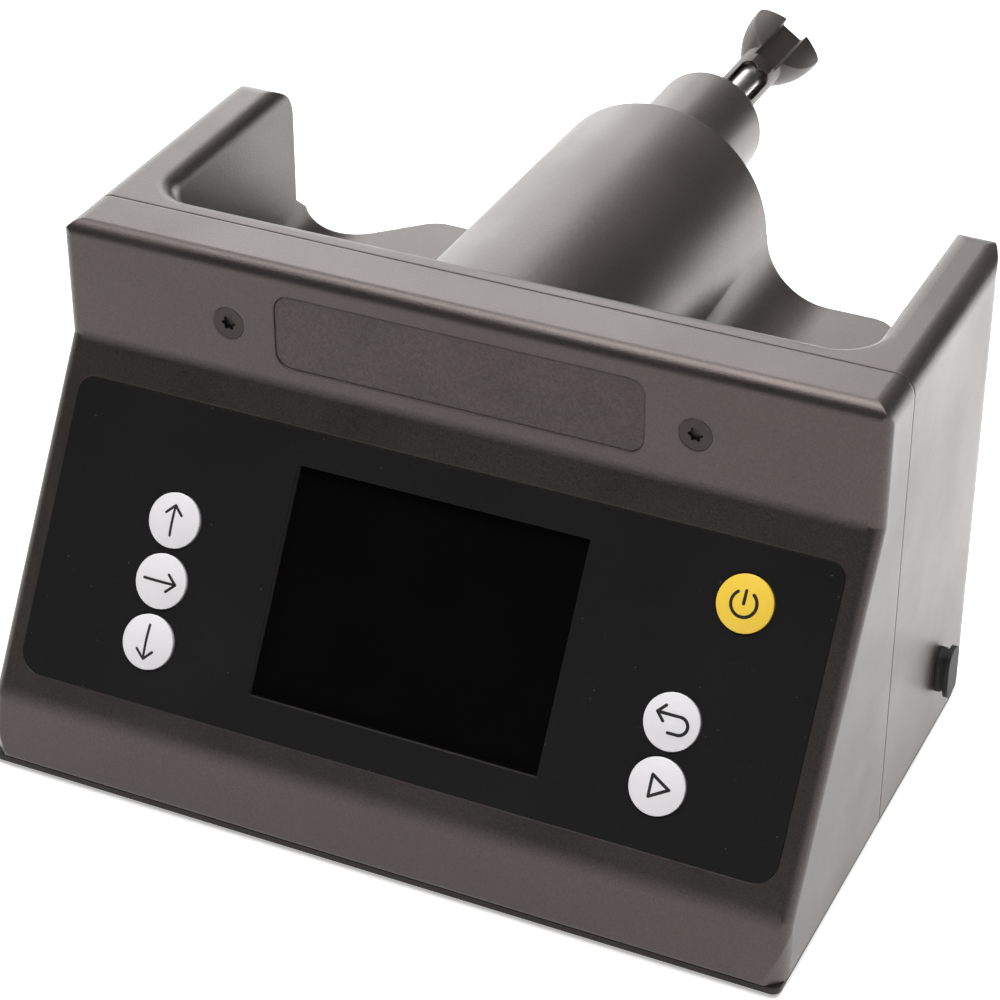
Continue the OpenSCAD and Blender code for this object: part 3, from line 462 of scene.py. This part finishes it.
class FILMPROC_OT_housing(bpy.types.Operator):
    """Dress the shells, base, sleeve, name plate and rubber parts"""

    bl_idname = "film_processor.housing"
    bl_label = "Housing"

    def execute(self, context):
        look = context.scene.film_processor_housing
        shell = finish(
            "satin moulded shell",
            look.shell,
            rough=0.35,
            grain=look.grain,
            depth=0.00004,
            patches=0.02,
            shade=0.09,
            rough_play=0.04,
            edge=look.soft_edge,
            edge_highlight_gain=1.9,
            ior=1.62,
            coat=0.12,
            coat_rough=0.27,
            specks=0.1,
            warm=look.warmth,
            mottle=0.42,
        )
        dress(shell, "front_shell", "rear_shell", "spindle_sleeve")
        # Darker than the shells: painted shade for the base plate in the shadow under the body
        base = finish(
            "matt base with painted shade",
            look.base,
            rough=0.55,
            grain=look.grain,
            depth=0.00004,
            shade=0.1,
            edge=0.0003,
            ior=1.4,
            warm=look.warmth,
        )
        dress(base, "base_plate")
        plate = finish(
            "name plate moulding",
            look.shell,
            rough=0.4,
            grain=look.grain * 1.3,
            depth=0.00009,
            shade=0.06,
            edge=0.0003,
            edge_highlight_gain=1.7,
            ior=1.58,
            specks=0.1,
            warm=look.warmth,
            mottle=0.75,
        )
        dress(plate, "name_plate")
        rubber = finish(
            "soft rubber",
            look.rubber,
            rough=0.62,
            grain=0.0005,
            depth=0.00002,
            shade=0.2,
            edge=0.0003,
        )
        dress(rubber, "joint_seal", "port_plug", "shaft_seal", *nodes_starting("foot_"))
        return {"FINISHED"}


class FILMPROC_OT_panel(bpy.types.Operator):
    """Dress the panel film, display window and display module"""

    bl_idname = "film_processor.panel"
    bl_label = "Panel and display"

    def execute(self, context):
        look = context.scene.film_processor_housing
        film = finish(
            "printed panel film",
            look.film,
            rough=0.5,
            grain=0.00028,
            depth=0.00001,
            patches=0.03,
            shade=0.08,
            rough_play=0.03,
            edge=0.00012,
            edge_highlight_gain=2.5,
            ior=1.3,
            specks=0.5,
            dust=0.0028,
        )
        dress(film, "panel_film")
        window = finish(
            "dark display window",
            look.window,
            rough=0.12,
            grain=0.004,
            depth=0.0000015,
            shade=0.1,
            rough_play=0.02,
        )
        dress(window, "display_window")
        frame_steel = finish(
            "display frame steel",
            (0.55, 0.56, 0.57),
            rough=0.35,
            grain=0.0004,
            depth=0.000004,
            metallic=1.0,
        )
        dress(frame_steel, "display_module")
        return {"FINISHED"}


class FILMPROC_OT_keys(bpy.types.Operator):
    """Dress the six keys and fill their engraved symbols"""

    bl_idname = "film_processor.keys"
    bl_label = "Keys"

    def execute(self, context):
        look = context.scene.film_processor_keys
        gloss = {"rough": 0.33, "grain": 0.0004, "depth": 0.000004, "edge": 0.0003, "ior": 1.46}
        cap = finish("white key moulding", look.cap, shade=0.02, edge_highlight_gain=1.05, **gloss)
        dress(cap, *(name for name in KEY_PLACES if name != "key_power"))
        power = finish("yellow key moulding", look.power_cap, shade=0.03, edge_highlight_gain=1.1, **gloss)
        dress(power, "key_power")
        ink = finish("symbol filling", look.symbol, rough=0.5, grain=0.0003, depth=0.000003, shade=0.1)
        for name, place in KEY_PLACES.items():
            bm = bmesh.new()
            SYMBOLS[name](bm, look.line)
            fill_groove(bm)
            bmesh.ops.transform(bm, verts=bm.verts[:], matrix=panel_place(*place))
            filling = linked_object(name + "_symbol", bm, ink)
            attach(filling, name)
        return {"FINISHED"}


class FILMPROC_OT_hardware(bpy.types.Operator):
    """Dress screws, spindle, bearings and coupling"""

    bl_idname = "film_processor.hardware"
    bl_label = "Screws and drive"

    def execute(self, context):
        look = context.scene.film_processor_housing
        black = finish(
            "blackened screw steel",
            (0.042, 0.037, 0.035),
            rough=0.42,
            grain=0.0005,
            depth=0.000006,
            metallic=0.6,
            edge=0.00025,
            edge_highlight_gain=2.2,
            warm=look.warmth,
        )
        dress(black, "band_screw_left", "band_screw_right")
        zinc = finish(
            "zinc plated screw",
            (0.42, 0.42, 0.43),
            rough=0.45,
            grain=0.0006,
            depth=0.000004,
            metallic=1.0,
            edge=0.0001,
        )
        dress(zinc, "coupling_screw", *nodes_starting("base_screw", "board_screw", "motor_screw"))
        bright = finish(
            "ground spindle steel",
            (0.72, 0.70, 0.67),
            rough=0.3,
            grain=0.0008,
            depth=0.000003,
            metallic=1.0,
            stretch=(1.0, 8.0, 1.0),
        )
        dress(bright, "spindle", "inner_bearing", "outer_bearing")
        nylon = finish(
            "glass filled coupling plastic",
            look.coupling,
            rough=0.42,
            grain=0.0005,
            depth=0.00001,
            shade=0.15,
            edge=0.0003,
            edge_highlight_gain=2.2,
            warm=look.warmth,
        )
        dress(nylon, "drive_coupling")
        return {"FINISHED"}


class FILMPROC_OT_inside(bpy.types.Operator):
    """Dress the gear motor, boards, cells and switches inside"""

    bl_idname = "film_processor.inside"
    bl_label = "Working parts inside"

    def execute(self, context):
        board = finish(
            "green circuit board",
            (0.012, 0.085, 0.032),
            rough=0.32,
            grain=0.0012,
            depth=0.000012,
            patches=0.006,
            shade=0.25,
        )
        dress(board, "control_board", "power_board")
        moulded = finish(
            "black moulded part",
            (0.018, 0.018, 0.019),
            rough=0.5,
            grain=0.0004,
            depth=0.00001,
            edge=0.0002,
        )
        dress(moulded, "charge_socket", "sounder", "battery_tray", *nodes_starting("switch_"))
        wrap = finish(
            "cell sleeve",
            (0.03, 0.13, 0.36),
            rough=0.25,
            grain=0.003,
            depth=0.00002,
            shade=0.08,
            coat=0.5,
            coat_rough=0.1,
        )
        dress(wrap, "battery_cell_1", "battery_cell_2")
        steel = finish(
            "drawn motor steel",
            (0.58, 0.58, 0.6),
            rough=0.3,
            grain=0.0006,
            depth=0.000005,
            metallic=1.0,
            stretch=(1.0, 6.0, 1.0),
        )
        dress(steel, "motor_can", "gearbox_plate")
        cast = finish(
            "cast gear case",
            (0.5, 0.51, 0.52),
            rough=0.45,
            grain=0.0006,
            depth=0.00002,
            metallic=1.0,
        )
        dress(cast, "gearbox_case")
        ferrite = finish("ferrite magnet", (0.03, 0.03, 0.034), rough=0.6, grain=0.0004, depth=0.00002)
        dress(ferrite, "motor_magnets")
        wound = finish(
            "rotor with windings",
            (0.45, 0.2, 0.09),
            rough=0.38,
            grain=0.0009,
            depth=0.00006,
            metallic=0.8,
            stretch=(1.0, 0.1, 1.0),
        )
        dress(wound, "motor_rotor")
        brass = finish(
            "hobbed brass",
            (0.68, 0.47, 0.16),
            rough=0.3,
            grain=0.0005,
            depth=0.000006,
            metallic=1.0,
        )
        dress(brass, "stage_gear", "output_gear")
        return {"FINISHED"}


# Studio

WHITE = (1.0, 1.0, 1.0, 1.0)
TABLE_SIZE = 6.0
TABLE_GLOW = 0.4
TABLE_GLOW_COLOUR = (1.0, 0.995, 0.99, 1.0)

# Camera: its place in metres, its axes in the frame, and its sensor and limits of sight
CAMERA_PLACE = (0.19161, -0.41935, 0.33899)
CAMERA_RIGHT = Vector((0.90657, 0.42205, 0.0))
CAMERA_DOWN = Vector((0.22986, -0.49382, -0.83863))
CAMERA_AHEAD = Vector((-0.35397, 0.76027, -0.5447))
SENSOR_WIDTH = 36.0  # in mm
NEAR_LIMIT = 0.01
FAR_LIMIT = 20.0


def soft_lamp(name, power, place, target, width, height):
    data = bpy.data.lights.new(name, "AREA")
    data.shape = "RECTANGLE"
    data.size = width
    data.size_y = height
    data.energy = power
    lamp = bpy.data.objects.new(name, data)
    lamp.location = place
    ahead = Vector(target) - lamp.location
    lamp.rotation_euler = ahead.to_track_quat("-Z", "Y").to_euler()
    bpy.context.scene.collection.objects.link(lamp)
    return lamp


def seen_directly(tree):
    """1 for what the camera sees itself, in a reflection or through glass; 0 for light on the object."""
    paths = add(tree, "ShaderNodeLightPath")
    total = paths.outputs["Is Camera Ray"]
    for name in ("Is Glossy Ray", "Is Transmission Ray"):
        step = add(tree, "ShaderNodeMath", operation="ADD", use_clamp=True)
        tree.links.new(total, step.inputs[0])
        tree.links.new(paths.outputs[name], step.inputs[1])
        total = step.outputs[0]
    return total


def table_paint(colour):
    material, tree = empty_material("pale table")
    strength = spread(tree, seen_directly(tree), (0.0, 1.0), (0.0, TABLE_GLOW))
    glow = add(tree, "ShaderNodeEmission", Color=TABLE_GLOW_COLOUR, Strength=strength)
    matt = add(tree, "ShaderNodeBsdfDiffuse", Color=rgba(colour))
    both = add(tree, "ShaderNodeAddShader")
    tree.links.new(glow.outputs[0], both.inputs[0])
    tree.links.new(matt.outputs[0], both.inputs[1])
    add(tree, "ShaderNodeOutputMaterial", Surface=both.outputs[0])
    return material


def card_felt(colour):
    material, tree = empty_material("card felt")
    matt = add(tree, "ShaderNodeBsdfDiffuse", Color=rgba(colour))
    add(tree, "ShaderNodeOutputMaterial", Surface=matt.outputs[0])
    return material


def flat_board(name, width, depth, place, material):
    """A flat board of the studio, outside the object."""
    bm = bmesh.new()
    shape = place @ Matrix.Diagonal((width, depth, 1.0, 1.0))
    bmesh.ops.create_grid(bm, x_segments=1, y_segments=1, size=0.5, matrix=shape)
    board = linked_object(name, bm, material)
    return board


def reflection_card(name, width, height, place, heading, material):
    """An upright board that shows only in reflections."""
    stance = Matrix.Translation(place) @ Matrix.Rotation(heading, 4, "Z") @ Matrix.Rotation(UPRIGHT, 4, "X")
    board = flat_board(name, width, height, stance, material)
    board.visible_camera = False
    board.visible_diffuse = False
    board.visible_shadow = False
    board.visible_transmission = False


def lay_out_room(scene, strength):
    """White where it is seen, and only as strong as asked for as a light."""
    world = bpy.data.worlds.new("studio")
    scene.world = world
    world.use_nodes = True
    tree = world.node_tree
    tree.nodes.clear()
    seen = spread(tree, seen_directly(tree), (0.0, 1.0), (strength, 1.0))
    sky = add(tree, "ShaderNodeBackground", Color=WHITE, Strength=seen)
    add(tree, "ShaderNodeOutputWorld", Surface=sky.outputs[0])


def set_camera(scene, lens):
    data = bpy.data.cameras.new("camera")
    data.lens = lens
    data.sensor_width = SENSOR_WIDTH
    data.clip_start = NEAR_LIMIT
    data.clip_end = FAR_LIMIT
    camera = bpy.data.objects.new("camera", data)
    turn = Matrix((CAMERA_RIGHT, -CAMERA_DOWN, -CAMERA_AHEAD)).transposed().to_4x4()
    camera.matrix_world = Matrix.Translation(CAMERA_PLACE) @ turn
    scene.collection.objects.link(camera)
    scene.camera = camera


class FILMPROC_OT_studio(bpy.types.Operator):
    """Lay the pale table, hang the soft lamps and set the camera"""

    bl_idname = "film_processor.studio"
    bl_label = "Studio"

    def execute(self, context):
        look = context.scene.film_processor_studio
        scene = context.scene
        scene.view_settings.view_transform = "Standard"

        flat_board("table", TABLE_SIZE, TABLE_SIZE, Matrix.Identity(4), table_paint(look.table))
        felt = card_felt(look.card)
        reflection_card(
            "dark card", width=3.4, height=1.86, place=(-0.5, -1.1, 1.09), heading=0.0, material=felt
        )
        reflection_card(
            "side dark card",
            width=2.0,
            height=1.42,
            place=(0.72, 1.28, 0.72),
            heading=math.radians(-37),
            material=felt,
        )

        lay_out_room(scene, look.room)
        soft_lamp(
            "back lamp",
            look.back_lamp,
            place=(-0.53, 1.14, 0.93),
            target=(0.0, 0.0, 0.06),
            width=0.62,
            height=0.66,
        )
        soft_lamp(
            "top lamp",
            look.top_lamp,
            place=(-0.1, -0.05, 1.2),
            target=(0.0, 0.0, 0.0),
            width=0.9,
            height=0.9,
        )
        wash = soft_lamp(
            "table lamp",
            look.table_lamp,
            place=(0.35, 0.62, 0.75),
            target=(0.22, 0.42, 0.0),
            width=0.5,
            height=0.5,
        )
        wash.data.spread = math.radians(70)
        wash.visible_glossy = False
        soft_lamp(
            "low lamp",
            look.low_lamp,
            place=(-0.95, 1.05, 0.27),
            target=(0.0, 0.05, 0.06),
            width=0.9,
            height=0.5,
        )

        set_camera(scene, look.lens)
        return {"FINISHED"}


class FILMPROC_PT_steps(bpy.types.Panel):
    """Steps that dress the film processor"""

    bl_label = "Film processor"
    bl_idname = "FILMPROC_PT_steps"
    bl_space_type = "VIEW_3D"
    bl_region_type = "UI"
    bl_category = "Film processor"

    def draw(self, context):
        for group in SETTINGS:
            settings = getattr(context.scene, group)
            box = self.layout.box()
            for key in settings.__annotations__:
                box.prop(settings, key)
        for step in STEPS:
            self.layout.operator(step.bl_idname)


STEPS = (
    FILMPROC_OT_studio,
    FILMPROC_OT_housing,
    FILMPROC_OT_panel,
    FILMPROC_OT_keys,
    FILMPROC_OT_hardware,
    FILMPROC_OT_inside,
)
SETTINGS = {
    "film_processor_housing": FilmProcessorHousing,
    "film_processor_keys": FilmProcessorKeys,
    "film_processor_studio": FilmProcessorStudio,
}
CLASSES = (*SETTINGS.values(), *STEPS, FILMPROC_PT_steps)


def register():
    for kind in CLASSES:
        bpy.utils.register_class(kind)
    for name, kind in SETTINGS.items():
        setattr(bpy.types.Scene, name, bpy.props.PointerProperty(type=kind))


def unregister():
    for name in SETTINGS:
        delattr(bpy.types.Scene, name)
    for kind in reversed(CLASSES):
        bpy.utils.unregister_class(kind)


def main():
    register()
    bpy.ops.film_processor.studio()
    bpy.ops.film_processor.housing()
    bpy.ops.film_processor.panel()
    bpy.ops.film_processor.keys()
    bpy.ops.film_processor.hardware()
    bpy.ops.film_processor.inside()


if __name__ == "__main__":
    main()
